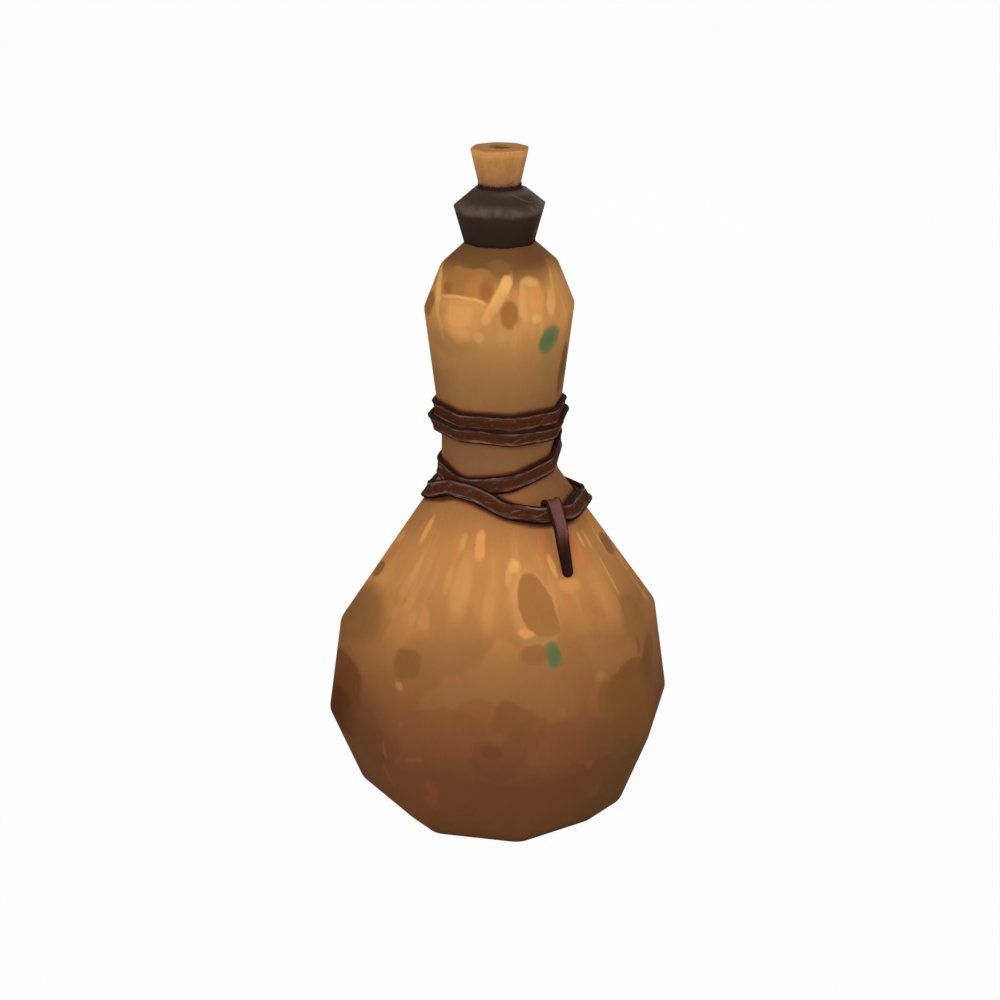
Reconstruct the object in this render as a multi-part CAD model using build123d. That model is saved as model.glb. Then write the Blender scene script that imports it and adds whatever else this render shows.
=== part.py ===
from build123d import *
import math
import os

# A water bottle made from a dried gourd. Millimetres, +Z up, origin at the centre of the foot.
# The gourd is eight-sided with softened corners, and two of its flats face X and two face Y.

# The gourd: height, radius to the corners before they are rounded, rounding of the corners
foot = (0.0, 43.5, 8.0)
heel = (11.5, 55.8, 9.0)
belly = (41.5, 67.8, 10.0)
breast = (78.5, 62.4, 10.0)
waist = (135.5, 22.6, 6.0)
neck = (150.0, 22.4, 6.0)
bulb = (199.5, 28.6, 7.0)
shoulder = (215.5, 22.0, 6.0)
rim = (222.9, 13.4, 4.0)
side_count = 8
gourd_wall = 4.0
wax_coat = 0.8
rim_thickness = 2.0
least_rounding = 1.0
mouth_hole_radius = 9.2
scar_radius = 5.0
scar_floor_radius = 3.6
scar_depth = 0.8

# The pitch seal, and the collar above it with its tenon in the mouth hole
seal_thickness = 0.6
seal_bead = 0.1
collar_foot_radius = 13.3
collar_ridge_radius = 17.0
collar_top_radius = 9.6
collar_ridge_rise = 13.2
collar_height = 19.1
collar_rounding = 3.0
tenon_clearance = 0.2
tenon_length = 11.5

# The stopper, and the felt ring that its head sits on
running_clearance = 0.15
seat_clearance = 0.1
gasket_radius = 8.4
gasket_thickness = 1.4
gasket_recess = 0.5
plug_top_radius = 7.4
plug_tip_radius = 5.2
plug_length = 13.6
plug_tip_chamfer = 0.6
head_foot_radius = 7.9
head_rim_radius = 10.7
head_height = 13.5
head_rounding = 5.0
head_chamfer = 0.5
pit_radius = 3.2
pit_floor_radius = 1.6
pit_depth = 1.2
pit_offset = 0.8

# The strap
strap_width = 6.5
strap_thickness = 1.4
strap_off_gourd = 0.5
layer_gap = 0.55
strap_start = 37.5
strap_step = 7.5
lean_reach = 3.0
tangent_reach = 3.0
gap_points = 9

# Where the strap goes, from strap_start: degrees wound so far, clockwise seen from above, height of its
# middle above the waist in strap widths, layers of strap under its lower edge and under its upper edge
strap_route = [
    (0, 3.84, 0, 0),
    (38, 3.86, 0, 0),
    (98, 3.90, 0, 0),
    (134, 3.91, 0, 0),
    (190, 3.95, 0, 0),
    (268, 3.94, 0, 0),
    (308, 3.84, 0, 0),
    (330, 3.66, 0, 0),
    (344, 3.46, 0, 0.2),
    (353, 3.32, 0.3, 1.0),
    (362, 3.20, 0.5, 1.30),
    (374, 3.14, 0.45, 1.30),
    (388, 3.10, 0.4, 1.30),
    (402, 3.05, 0.35, 1.30),
    (418, 3.00, 0.3, 1.27),
    (438, 2.99, 0.25, 1.25),
    (458, 3.06, 0.3, 1.28),
    (494, 3.18, 0.45, 1.30),
    (550, 3.18, 0.4, 1.30),
    (598, 3.08, 0.2, 1.25),
    (628, 2.95, 0.1, 1.25),
    (652, 2.80, 0, 1.10),
    (668, 2.68, 0, 0.2),
    (686, 2.50, 0, 0),
    (704, 2.30, 0, 0),
    (722, 2.07, 0, 0),
    (740, 1.77, 0, 0),
    (758, 1.42, 0, 0),
    (776, 1.06, 0, 0),
    (797, 0.72, 0, 0),
    (818, 0.46, 0, 0),
    (838, 0.24, 0, 0),
    (855, 0.10, 0, 0),
    (873, 0.06, 0, 0),
    (891, 0.18, 0, 0),
    (911, 0.44, 0, 0),
    (935, 0.52, 0, 0),
    (960, 0.30, 0, 0),
    (983, -0.20, 0, 0),
    (998, -0.62, 0, 0),
    (1006, -0.86, 0.4, 0),
    (1014, -1.12, 1.10, 0.4),
    (1024, -1.42, 1.15, 0.9),
    (1036, -1.70, 1.15, 1.10),
    (1048, -1.86, 1.12, 1.10),
    (1062, -1.93, 1.10, 1.10),
    (1078, -1.87, 1.10, 1.10),
    (1098, -1.74, 1.10, 1.10),
    (1118, -1.64, 1.10, 1.10),
    (1136, -1.57, 1.10, 1.10),
    (1154, -1.50, 1.10, 1.10),
    (1167, -1.38, 1.05, 1.05),
    (1182, -1.14, 0.2, 0.5),
    (1193, -0.88, 0.1, 1.20),
    (1206, -0.48, 0.7, 1.60),
    (1218, -0.18, 1.15, 1.50),
    (1228, -0.05, 1.25, 1.45),
    (1239, -0.09, 1.20, 1.55),
    (1253, -0.44, 0.8, 1.65),
    (1263, -0.70, 0.3, 1.30),
    (1273, -0.93, 0, 0.5),
    (1288, -1.15, 0, 0),
    (1318, -1.50, 0, 0),
    (1345, -1.78, 0, 0),
    (1372, -1.96, 0, 0),
    (1398, -2.06, 0, 0),
    (1425, -2.06, 0, 0),
    (1458, -1.88, 0, 0),
    (1485, -1.76, 0, 0),
    (1507.5, -1.70, 0, 0),
]

# The strap's end: tucked up behind the last turn, folded over its upper edge and hanging in front of it
fold_flat = -45.0
fold_azimuth = -38.0
turns_before_fold = 3
tuck_length = 5.5
tail_length = 27.0
tail_drift = 2.4
tail_end_width = 4.2
tail_straight = 7.4
tail_lean = 12.0

# Worked out from the sizes above
gourd_rings = [foot, heel, belly, breast, waist, neck, bulb, shoulder, rim]
half_side = 180 / side_count
flat_share = math.cos(math.radians(half_side))
collar_base = rim[0] + seal_thickness
collar_top = collar_base + collar_height
gasket_base = collar_top - gasket_recess
gasket_top = gasket_base + gasket_thickness
head_base = gasket_top + seat_clearance
head_top = head_base + head_height
plug_tip = head_base - plug_length
tenon_base = collar_base - tenon_length
layer = strap_thickness + layer_gap
strap_end = strap_route[-1][0]
fold_way = (strap_start - fold_azimuth) % 360 + 360 * turns_before_fold
upwards = (Align.CENTER, Align.CENTER, Align.MIN)


def export(part, name):
    part.label = name
    export_step(part, "parts/" + name + ".step")


def section(height, radius, rounding):
    """An eight-sided face with rounded corners, level, at a height."""
    outline = RegularPolygon(radius, side_count, rotation=half_side)
    return Pos(0, 0, height) * fillet(outline.vertices(), rounding)


def loft_rings(rings):
    return loft([section(*ring) for ring in rings], ruled=True)


def column(radius, base, top):
    return Pos(0, 0, base) * Cylinder(radius, top - base, align=upwards)


def frustum(base_radius, top_radius, base, top):
    return Pos(0, 0, base) * Cone(base_radius, top_radius, top - base, align=upwards)


def inset_rings(depth, ceiling):
    """The gourd's rings with every wall moved in by depth, a floor as thick, and a level ceiling.
    Each wall is a line in radius and height: its normal, and its distance from the origin."""
    outline = [(radius * flat_share, height) for height, radius, rounding in gourd_rings]
    lines = [((0.0, 1.0), foot[0] + depth)]
    for (low_radius, low), (high_radius, high) in zip(outline, outline[1:]):
        length = math.hypot(high_radius - low_radius, high - low)
        normal = ((high - low) / length, (low_radius - high_radius) / length)
        lines.append((normal, normal[0] * low_radius + normal[1] * low - depth))
    lines.append(((0.0, 1.0), ceiling))
    rings = []
    for ring, (first, near), (second, far) in zip(gourd_rings, lines, lines[1:]):
        spread = first[0] * second[1] - first[1] * second[0]
        radius = (near * second[1] - far * first[1]) / spread
        height = (far * first[0] - near * second[0]) / spread
        rings.append((height, radius / flat_share, max(ring[2] - depth, least_rounding)))
    return rings


def make_gourd_shell(cavity):
    hole = column(mouth_hole_radius, tenon_base, collar_base)
    scar = frustum(scar_radius, scar_floor_radius, foot[0], foot[0] + scar_depth)
    return loft_rings(gourd_rings) - cavity - hole - scar


def make_wax_lining(cavity):
    room = loft_rings(inset_rings(gourd_wall + wax_coat, rim[0] - rim_thickness - wax_coat))
    return cavity - room - column(mouth_hole_radius, tenon_base, collar_base)


def make_pitch_seal():
    base = (rim[0], rim[1] + seal_bead, rim[2])
    top = (collar_base, collar_foot_radius + seal_bead, collar_rounding)
    return loft_rings([base, top]) - column(mouth_hole_radius, rim[0], collar_base)


def make_mouth_collar():
    cone = loft_rings([
        (collar_base, collar_foot_radius, collar_rounding),
        (collar_base + collar_ridge_rise, collar_ridge_radius, collar_rounding),
        (collar_top, collar_top_radius, collar_rounding),
    ])
    tenon = column(mouth_hole_radius - tenon_clearance, tenon_base, collar_base)
    taper = frustum(
        plug_tip_radius + running_clearance, plug_top_radius + running_clearance, plug_tip, head_base
    )
    passage = column(plug_tip_radius + running_clearance, tenon_base, plug_tip)
    recess = column(gasket_radius, gasket_base, collar_top)
    return cone + tenon - taper - passage - recess


def make_stopper_gasket():
    ring = column(gasket_radius, gasket_base, gasket_top)
    return ring - column(plug_top_radius + running_clearance, gasket_base, gasket_top)


def make_cork_stopper():
    head = loft_rings([
        (head_base, head_foot_radius, head_rounding),
        (head_top - head_chamfer, head_rim_radius, head_rounding),
        (head_top, head_rim_radius - head_chamfer, head_rounding),
    ])
    plug = frustum(plug_tip_radius, plug_top_radius, plug_tip, head_base)
    plug = chamfer(plug.edges().sort_by(Axis.Z)[0], plug_tip_chamfer)
    pit = Pos(pit_offset, 0, 0) * frustum(pit_floor_radius, pit_radius, head_top - pit_depth, head_top)
    return head + plug - pit


def ring_at(height):
    """The gourd's corner radius and rounding at a height."""
    for low, high in zip(gourd_rings, gourd_rings[1:]):
        if height <= high[0]:
            share = (height - low[0]) / (high[0] - low[0])
            return low[1] + share * (high[1] - low[1]), low[2] + share * (high[2] - low[2])
    return rim[1], rim[2]


def gourd_radius(azimuth, height):
    """From the axis to the gourd's outer face, on a flat or on a rounded corner."""
    corner, rounding = ring_at(height)
    flat = corner * flat_share
    off_flat = math.radians(abs((azimuth + half_side) % (2 * half_side) - half_side))
    corner_turn = math.radians(half_side)
    if flat * math.tan(off_flat) <= (flat - rounding) * math.tan(corner_turn):
        return flat / math.cos(off_flat)
    centre = (flat - rounding) / flat_share
    off_corner = corner_turn - off_flat
    return centre * math.cos(off_corner) + math.sqrt(rounding**2 - (centre * math.sin(off_corner)) ** 2)


def off_gourd(azimuth, height, distance):
    """A point that stands off the gourd by a distance, square to the wall's lean there."""
    rise = gourd_radius(azimuth, height - lean_reach) - gourd_radius(azimuth, height + lean_reach)
    lean = math.hypot(rise, 2 * lean_reach) / (2 * lean_reach)
    radius = gourd_radius(azimuth, height) + distance * lean
    angle = math.radians(azimuth)
    return Vector(radius * math.cos(angle), radius * math.sin(angle), height)


def route_at(way):
    """Height of the strap's middle and its stand-off at both edges, on a smooth curve through the route."""
    last = len(strap_route) - 1
    after = next((i for i in range(1, last) if strap_route[i][0] > way), last)
    a, b = strap_route[after - 1], strap_route[after]
    before = strap_route[max(after - 2, 0)]
    beyond = strap_route[min(after + 1, last)]
    span = b[0] - a[0]
    s = (way - a[0]) / span
    values = []
    for k in (1, 2, 3):
        leaving = (b[k] - before[k]) / (b[0] - before[0]) * span
        arriving = (beyond[k] - a[k]) / (beyond[0] - a[0]) * span
        held = (2 * s**3 - 3 * s**2 + 1) * a[k] + (3 * s**2 - 2 * s**3) * b[k]
        values.append(held + (s**3 - 2 * s**2 + s) * leaving + (s**3 - s**2) * arriving)
    height, lower, upper = values
    height = waist[0] + height * strap_width
    return height, strap_off_gourd + max(lower, 0) * layer, strap_off_gourd + max(upper, 0) * layer


def strap_middle(way):
    height, lower, upper = route_at(way)
    return off_gourd(strap_start - way, height, (lower + upper + strap_thickness) / 2)


def strap_section(way):
    """The strap's four corners: inner lower, inner upper, outer upper, outer lower."""
    height, lower, upper = route_at(way)
    azimuth = strap_start - way
    along = (strap_middle(way + tangent_reach) - strap_middle(way - tangent_reach)).normalized()
    climb = off_gourd(azimuth, height + lean_reach, 0) - off_gourd(azimuth, height - lean_reach, 0)
    across = along.cross(climb.cross(along).normalized())
    here = off_gourd(azimuth, height, strap_off_gourd)
    edges = []
    for side, distance in ((-0.5, lower), (0.5, upper)):
        point = here + across * side * strap_width
        edges.append(off_gourd(math.degrees(math.atan2(point.Y, point.X)), point.Z, distance))
    middle = (edges[0] + edges[1]) / 2
    across = (edges[1] - edges[0]).normalized()
    outwards = across.cross(along).normalized()
    low = middle - across * strap_width / 2
    high = middle + across * strap_width / 2
    depth = outwards * strap_thickness
    return [low, high, high + depth, low + depth]


def make_thong_winding():
    steps = round(strap_end / strap_step)
    ways = [strap_end * i / steps for i in range(steps + 1)]
    wires = [Wire.make_polygon(strap_section(way), close=True) for way in ways]
    return Solid.make_loft(wires, ruled=True)


def fold_plane():
    """Origin on the upper edge of the turn that the end is folded over, in the middle of its
    thickness. X runs down the gourd's flat, Y out of it and Z level along it, against the winding."""
    inner_low, inner_high, outer_high, outer_low = strap_section(fold_way)
    wall = math.radians(fold_flat)
    outwards = Vector(math.cos(wall), math.sin(wall), 0)
    drop = (breast[1] - waist[1]) * flat_share / (waist[0] - breast[0])
    downwards = (outwards * drop - Vector(0, 0, 1)).normalized()
    level = downwards.cross(outwards).normalized()
    return Plane(origin=(inner_high + outer_high) / 2, x_dir=downwards, z_dir=level)


def fold_radius():
    """From the middle of the turn to the middle of the strap in front of it or behind it."""
    height, lower, upper = route_at(fold_way)
    return upper - strap_off_gourd


def make_thong_tuck(plane):
    behind = Pos(tuck_length / 2, -fold_radius(), 0) * Box(tuck_length, strap_thickness, strap_width)
    return plane * behind


def make_thong_fold(plane):
    outer = Cylinder(fold_radius() + strap_thickness / 2, strap_width)
    inner = Cylinder(fold_radius() - strap_thickness / 2, strap_width)
    reach = 2 * outer.radius
    lower_half = Box(reach, reach, strap_width, align=(Align.MIN, Align.CENTER, Align.CENTER))
    return plane * (outer - inner - lower_half)


def make_thong_tail(plane):
    """Cut from the strap's side view, which bends in below the turn, and from its tapered outline."""
    front = fold_radius() + strap_thickness / 2
    back = fold_radius() - strap_thickness / 2
    lean = math.radians(tail_lean)
    shift = (tail_length - tail_straight) * math.tan(lean)
    side_view = Plane.XY * make_face(Polyline(
        (0, back),
        (tail_straight, back),
        (tail_length, back - shift),
        (tail_length, front - shift),
        (tail_straight, front),
        (0, front),
        close=True,
    ))
    end = tail_end_width / 2
    start = strap_width / 2
    low = (tail_length - end, tail_drift - end)
    high = (tail_length - end, tail_drift + end)
    sides = Polyline(low, (0, -start), (0, start), high)
    outline = Plane.XZ * make_face(sides + ThreePointArc(high, (tail_length, tail_drift), low))
    blank = extrude(side_view, strap_width + tail_drift, both=True)
    cutter = extrude(outline, 2 * front, both=True)
    return plane * (blank & cutter)


def least_self_gap():
    """The least distance between points on turns of the strap that lie over or beside one another."""
    steps = round(strap_end / strap_step)
    half_turn = round(180 / strap_step)
    shares = [i / (gap_points - 1) for i in range(gap_points)]
    rows = []
    for i in range(steps + 1):
        low, high, outer_high, outer_low = strap_section(strap_end * i / steps)
        faces = ((low, high), (outer_low, outer_high))
        rows.append([tuple(a + (b - a) * share) for a, b in faces for share in shares])
    gaps = []
    for i, row in enumerate(rows):
        for j in range(i + half_turn, len(rows)):
            off = (j - i) * strap_step % 360
            if min(off, 360 - off) <= 2 * strap_step:
                gaps.append(min(math.dist(p, q) for p in row for q in rows[j]))
    return min(gaps)


def main():
    os.makedirs("parts", exist_ok=True)
    cavity = loft_rings(inset_rings(gourd_wall, rim[0] - rim_thickness))
    plane = fold_plane()
    export(make_gourd_shell(cavity), "gourd_shell")
    export(make_wax_lining(cavity), "wax_lining")
    export(make_pitch_seal(), "pitch_seal")
    export(make_mouth_collar(), "mouth_collar")
    export(make_stopper_gasket(), "stopper_gasket")
    export(make_cork_stopper(), "cork_stopper")
    export(make_thong_winding(), "thong_winding")
    export(make_thong_tuck(plane), "thong_tuck")
    export(make_thong_fold(plane), "thong_fold")
    export(make_thong_tail(plane), "thong_tail")
    print("least gap of the strap to itself:", round(least_self_gap(), 2), "mm")
    print("tail hinge at", tuple(plane.origin), "axis", tuple(plane.z_dir))


main()
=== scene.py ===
import math

import bpy
import numpy as np
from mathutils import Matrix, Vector


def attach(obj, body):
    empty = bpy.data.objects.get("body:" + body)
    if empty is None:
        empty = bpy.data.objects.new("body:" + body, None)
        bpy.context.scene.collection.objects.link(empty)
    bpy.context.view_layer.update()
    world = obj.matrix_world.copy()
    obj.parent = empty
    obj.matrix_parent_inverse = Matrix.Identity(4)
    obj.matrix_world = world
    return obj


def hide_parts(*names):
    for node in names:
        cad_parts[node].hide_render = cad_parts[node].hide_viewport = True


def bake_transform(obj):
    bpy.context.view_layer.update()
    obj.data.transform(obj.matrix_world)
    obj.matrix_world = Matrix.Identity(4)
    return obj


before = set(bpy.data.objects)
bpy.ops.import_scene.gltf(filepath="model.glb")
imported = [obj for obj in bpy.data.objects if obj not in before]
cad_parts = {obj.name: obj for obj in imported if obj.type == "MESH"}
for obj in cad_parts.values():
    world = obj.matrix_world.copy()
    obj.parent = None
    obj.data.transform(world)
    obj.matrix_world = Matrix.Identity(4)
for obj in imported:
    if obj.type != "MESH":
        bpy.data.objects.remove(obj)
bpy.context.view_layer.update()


# Studio: the bottle stands on a white floor under a large soft lamp at the front, weaker ones at the right and
# behind, and a pale sky. What the camera and reflections see of the sky is white.

white = (1.0, 1.0, 1.0)
sky_colour = (1.0, 0.985, 0.96)
sky_strength = 0.36
paper_colour = (0.88, 0.88, 0.88)
paper_glow = 0.96
floor_reach = 9
bottle_middle = Vector((0, 0, 0.11))


class Tone:
    """One output of a node. Arithmetic on it adds Math nodes to the same tree."""

    def __init__(self, tree, socket):
        self.tree = tree
        self.socket = socket

    def node(self, kind, settings, sockets, output=0):
        """Adds a node, sets it, then fills or links its sockets, and returns one of its outputs."""
        made = self.tree.nodes.new(kind)
        for name, value in settings.items():
            if name == "stops":
                while len(made.color_ramp.elements) < len(value):
                    made.color_ramp.elements.new(1.0)
                for element, (position, colour) in zip(made.color_ramp.elements, value):
                    element.position = position
                    element.color = (*colour, 1.0)
            else:
                setattr(made, name, value)
        for name, value in sockets.items():
            if isinstance(name, int):
                socket = made.inputs[name]
            else:
                socket = next(s for s in made.inputs if s.enabled and s.name == name)
            if isinstance(value, Tone):
                self.tree.links.new(value.socket, socket)
            elif socket.type == "RGBA":
                socket.default_value = (*value, 1.0)
            else:
                socket.default_value = value
        return Tone(self.tree, made.outputs[output]) if len(made.outputs) else None

    def beside(self, output):
        """Another output of the same node."""
        return Tone(self.tree, self.socket.node.outputs[output])

    def maths(self, operation, first, second):
        return self.node("ShaderNodeMath", {"operation": operation}, {0: first, 1: second})

    def __add__(self, other):
        return self.maths("ADD", self, other)

    __radd__ = __add__

    def __sub__(self, other):
        return self.maths("SUBTRACT", self, other)

    def __rsub__(self, other):
        return self.maths("SUBTRACT", other, self)

    def __mul__(self, other):
        return self.maths("MULTIPLY", self, other)

    __rmul__ = __mul__

    def __truediv__(self, other):
        return self.maths("DIVIDE", self, other)

    def __pow__(self, other):
        return self.maths("POWER", self, other)

    def __abs__(self):
        return self.maths("ABSOLUTE", self, 0.0)

    def vectors(self, operation, first, second=(0, 0, 0), third=(0, 0, 0), output=0):
        inputs = {0: first, 1: second, 2: third}
        return self.node("ShaderNodeVectorMath", {"operation": operation}, inputs, output)

    def combined(self, x, y, z):
        return self.node("ShaderNodeCombineXYZ", {}, {0: x, 1: y, 2: z})

    def step(self, start, end, top=1.0):
        """Rises smoothly from 0 at start to its top at end, or falls if end is the lower."""
        return self.node(
            "ShaderNodeMapRange",
            {"interpolation_type": "SMOOTHSTEP"},
            {"Value": self, "From Min": start, "From Max": end, "To Max": top},
        )

    def noise(self, scale, detail=2.0, roughness=0.5, output=0):
        """Cloudy noise read at this place, about 0.5 on average. Output 1 is its colour."""
        sockets = {"Vector": self, "Scale": scale, "Detail": detail, "Roughness": roughness}
        return self.node("ShaderNodeTexNoise", {}, sockets, output)

    def stretched(self, scale, turn=(0, 0, 0)):
        return self.node("ShaderNodeMapping", {}, {"Vector": self, "Scale": scale, "Rotation": turn})

    def ramp(self, stops):
        """The colour that belongs to this value, between stops of (value, colour)."""
        return self.node("ShaderNodeValToRGB", {"stops": stops}, {"Fac": self})

    def blended(self, other, share):
        """This colour with the other one laid over it by a share, which may vary."""
        return self.node("ShaderNodeMix", {"data_type": "RGBA"}, {"A": self, "B": other, "Factor": share}, 2)

    def shaded(self, brightness):
        """This colour times a brightness that varies."""
        return self.vectors("MULTIPLY", self, self.combined(brightness, brightness, brightness))


def start_tree(owner):
    """Empties the node tree of a world or a material, and returns a start for its nodes."""
    owner.use_nodes = True
    owner.node_tree.nodes.clear()
    return Tone(owner.node_tree, None)


def put(name, data):
    """A new object in the scene."""
    made = bpy.data.objects.new(name, data)
    bpy.context.scene.collection.objects.link(made)
    return made


sky = bpy.data.worlds.new("pale_sky")
bpy.context.scene.world = sky
to_camera = start_tree(sky).node("ShaderNodeLightPath", {}, {}, "Is Camera Ray")
seen = to_camera.maths("MAXIMUM", to_camera, to_camera.beside("Is Glossy Ray"))
soft_light = seen.node("ShaderNodeBackground", {}, {"Color": sky_colour, "Strength": sky_strength})
white_wall = seen.node("ShaderNodeBackground", {}, {"Color": white})
look = seen.node("ShaderNodeMixShader", {}, {0: seen, 1: soft_light, 2: white_wall})
look.node("ShaderNodeOutputWorld", {}, {"Surface": look})

for name, place, size, power in (
    ("front_lamp", (-0.05, -1.40, 0.95), 0.8, 16.6),
    ("side_lamp", (1.45, 0.10, 0.45), 0.7, 3.8),
    ("back_lamp", (-0.10, 1.35, 0.95), 0.9, 8.0),
):
    light = bpy.data.lights.new(name, "AREA")
    light.shape = "SQUARE"
    light.size = size
    light.energy = power
    lamp = put(name, light)
    lamp.location = place
    lamp.rotation_euler = (bottle_middle - Vector(place)).to_track_quat("-Z", "Y").to_euler()

floor_mesh = bpy.data.meshes.new("floor")
floor_corners = [(x * floor_reach, y * floor_reach, 0) for x, y in ((-1, -1), (1, -1), (1, 1), (-1, 1))]
floor_mesh.from_pydata(floor_corners, [], [(0, 1, 2, 3)])
floor = put("floor", floor_mesh)
paper = bpy.data.materials.new("white_paper")
to_camera = start_tree(paper).node("ShaderNodeLightPath", {}, {}, "Is Camera Ray")
lit = to_camera.node("ShaderNodeBsdfDiffuse", {}, {"Color": paper_colour})
bright = to_camera.node("ShaderNodeEmission", {}, {"Color": white})
look = to_camera.node("ShaderNodeMixShader", {}, {0: to_camera * paper_glow, 1: lit, 2: bright})
look.node("ShaderNodeOutputMaterial", {}, {"Surface": look})
floor_mesh.materials.append(paper)

view_distance = 0.733
view_azimuth = math.radians(-77.7)
view_elevation = math.radians(19.75)
view_height = 0.1232
view_aside = 0.00013
view_lens = 69.44
level_way = Vector((math.cos(view_azimuth), math.sin(view_azimuth), 0))
view_right = Vector((-math.sin(view_azimuth), math.cos(view_azimuth), 0))
towards_camera = level_way * math.cos(view_elevation) + Vector((0, 0, math.sin(view_elevation)))
view_aim = Vector((0, 0, view_height)) + view_right * view_aside
camera_data = bpy.data.cameras.new("camera")
camera_data.lens = view_lens
camera_data.sensor_width = 36
camera = put("camera", camera_data)
camera.location = view_aim + towards_camera * view_distance
camera.rotation_euler = (-towards_camera).to_track_quat("-Z", "Y").to_euler()
bpy.context.scene.camera = camera
bpy.context.scene.view_settings.view_transform = "Standard"


# Gourd: one dried calabash, hollow, with its top cut off for the mouth. It grew in a tied frame that left
# eight soft flats, and its skin is scraped, stained and darkened by hands and smoke.

eighth = math.tau / 8
flat_share = math.cos(eighth / 2)
gourd_rings = [
    (0.0, 0.0435, 0.008),
    (0.0115, 0.0558, 0.009),
    (0.0415, 0.0678, 0.010),
    (0.0785, 0.0624, 0.010),
    (0.1355, 0.0226, 0.006),
    (0.1500, 0.0224, 0.006),
    (0.1995, 0.0286, 0.007),
    (0.2155, 0.0220, 0.006),
    (0.2229, 0.0134, 0.004),
]
gourd_wall = 0.004
mouth_hole_radius = 0.0092
ring_softness = 0.0015
around_gourd = 240
mouth_top = gourd_rings[-1][0]
mouth_ceiling = 0.2209
coarse_step = 0.0035
fine_step = 0.0008
under_thong = (0.116, 0.172)


def outline_reach(corner, rounding, azimuth):
    """From the axis to an eight-sided outline with rounded corners. A rounding of None is a circle."""
    if rounding is None:
        return np.full_like(azimuth, corner)
    flat = corner * flat_share
    off_flat = np.abs((azimuth + eighth / 2) % eighth - eighth / 2)
    off_corner = eighth / 2 - off_flat
    centre = (flat - rounding) / flat_share
    turned = np.sqrt(np.maximum(rounding**2 - (centre * np.sin(off_corner)) ** 2, 0))
    on_corner = flat * np.tan(off_flat) > (flat - rounding) * math.tan(eighth / 2)
    return np.where(on_corner, centre * np.cos(off_corner) + turned, flat / np.cos(off_flat))


def soften(rings, reach, steps=5):
    """The rings with each one between the ends split into a short curve, so that no edge is sharp."""
    rings = [np.array(ring) for ring in rings]
    softened = [rings[0]]
    for before, ring, after in zip(rings, rings[1:], rings[2:]):
        back = before - ring
        ahead = after - ring
        start = ring + back * min(reach / np.hypot(*back[:2]), 0.45)
        end = ring + ahead * min(reach / np.hypot(*ahead[:2]), 0.45)
        for share in np.linspace(0, 1, steps):
            softened.append((1 - share) ** 2 * start + 2 * share * (1 - share) * ring + share**2 * end)
    softened.append(rings[-1])
    return softened


def divide(rings, longest, above=0.0, below=1.0):
    """The rings with more between them, so that no two in a stretch are further apart than longest."""
    divided = [rings[0]]
    for low, high in zip(rings, rings[1:]):
        count = math.ceil(np.hypot(*(high - low)[:2]) / longest) if above <= high[0] <= below else 1
        divided += [low + (high - low) * i / max(count, 1) for i in range(1, max(count, 1) + 1)]
    return divided


def make_piece(name, points, faces):
    mesh = bpy.data.meshes.new(name)
    mesh.from_pydata([tuple(map(float, point)) for point in points], [], faces)
    mesh.shade_smooth()
    return put(name, mesh)


def turn_piece(name, rings, around, closed=False):
    """A mesh round the Z axis through rings of (height, corner radius, rounding, middle's x). An open one
    ends in a pole at each end, and a closed one joins its last ring to its first."""
    azimuth = np.arange(around) * math.tau / around
    points = []
    for height, corner, rounding, middle in rings:
        reach = outline_reach(corner, rounding, azimuth)
        points += list(zip(middle + reach * np.cos(azimuth), reach * np.sin(azimuth), [height] * around))
    sides = [(i, (i + 1) % around) for i in range(around)]
    faces = []
    for row in range(len(rings) if closed else len(rings) - 1):
        low = row * around
        high = (row + 1) % len(rings) * around
        faces += [(low + i, low + j, high + j, high + i) for i, j in sides]
    if not closed:
        last = (len(rings) - 1) * around
        for ring, start, way in ((rings[0], 0, -1), (rings[-1], last, 1)):
            faces += [(len(points), *(start + i, start + j)[::way]) for i, j in sides]
            points.append((ring[3], 0, ring[0]))
    return make_piece(name, points, faces)


def light_roundly(piece, wall, heights, leans):
    """Makes light roll round a flat-sided wall, a range of faces, as if it were round. Its leans are in
    radians, at heights. Faces before it and poles are lit flat, and those after it as they stand."""
    normals = []
    for face in piece.data.polygons:
        for vertex in face.vertices:
            if face.index in wall:
                place = piece.data.vertices[vertex].co
                lean = np.interp(place.z, heights, leans)
                turn = math.atan2(place.y, place.x)
                normals.append((math.cos(lean) * math.cos(turn), math.cos(lean) * math.sin(turn), math.sin(lean)))
            elif face.index < wall.start or len(face.vertices) == 3:
                normals.append(face.normal)
            else:
                normals.append((0, 0, 0))
    piece.data.normals_split_custom_set(normals)


outer_rings = divide(divide(soften(gourd_rings, ring_softness), coarse_step), fine_step, *under_thong)
foot_rings = [(0.0008, 0.0036, None, 0), (0.0, 0.0050, None, 0), (0.0, 0.0240, None, 0)]
mouth_rings = [(mouth_top, mouth_hole_radius, None, 0), (mouth_ceiling, mouth_hole_radius, None, 0)]
inner_rings = [
    (mouth_ceiling, 0.0110, 0.003, 0),
    *((height, corner - gourd_wall, rounding, 0) for height, corner, rounding in reversed(gourd_rings[1:-1])),
    (gourd_wall, 0.0440, 0.006, 0),
]
gourd = turn_piece(
    "gourd", foot_rings + [(*ring, 0) for ring in outer_rings] + mouth_rings + inner_rings, around_gourd
)
wall_start = len(foot_rings) * around_gourd
wall_end = wall_start + len(outer_rings) * around_gourd

leans = [math.atan2(a[1] - b[1], b[0] - a[0]) for a, b in zip(gourd_rings, gourd_rings[1:])]
light_roundly(
    gourd,
    range(wall_start, wall_end - around_gourd),
    [ring[0] for ring in gourd_rings],
    [(below + above) / 2 for below, above in zip(leans[:1] + leans, leans + leans[-1:])],
)


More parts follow.
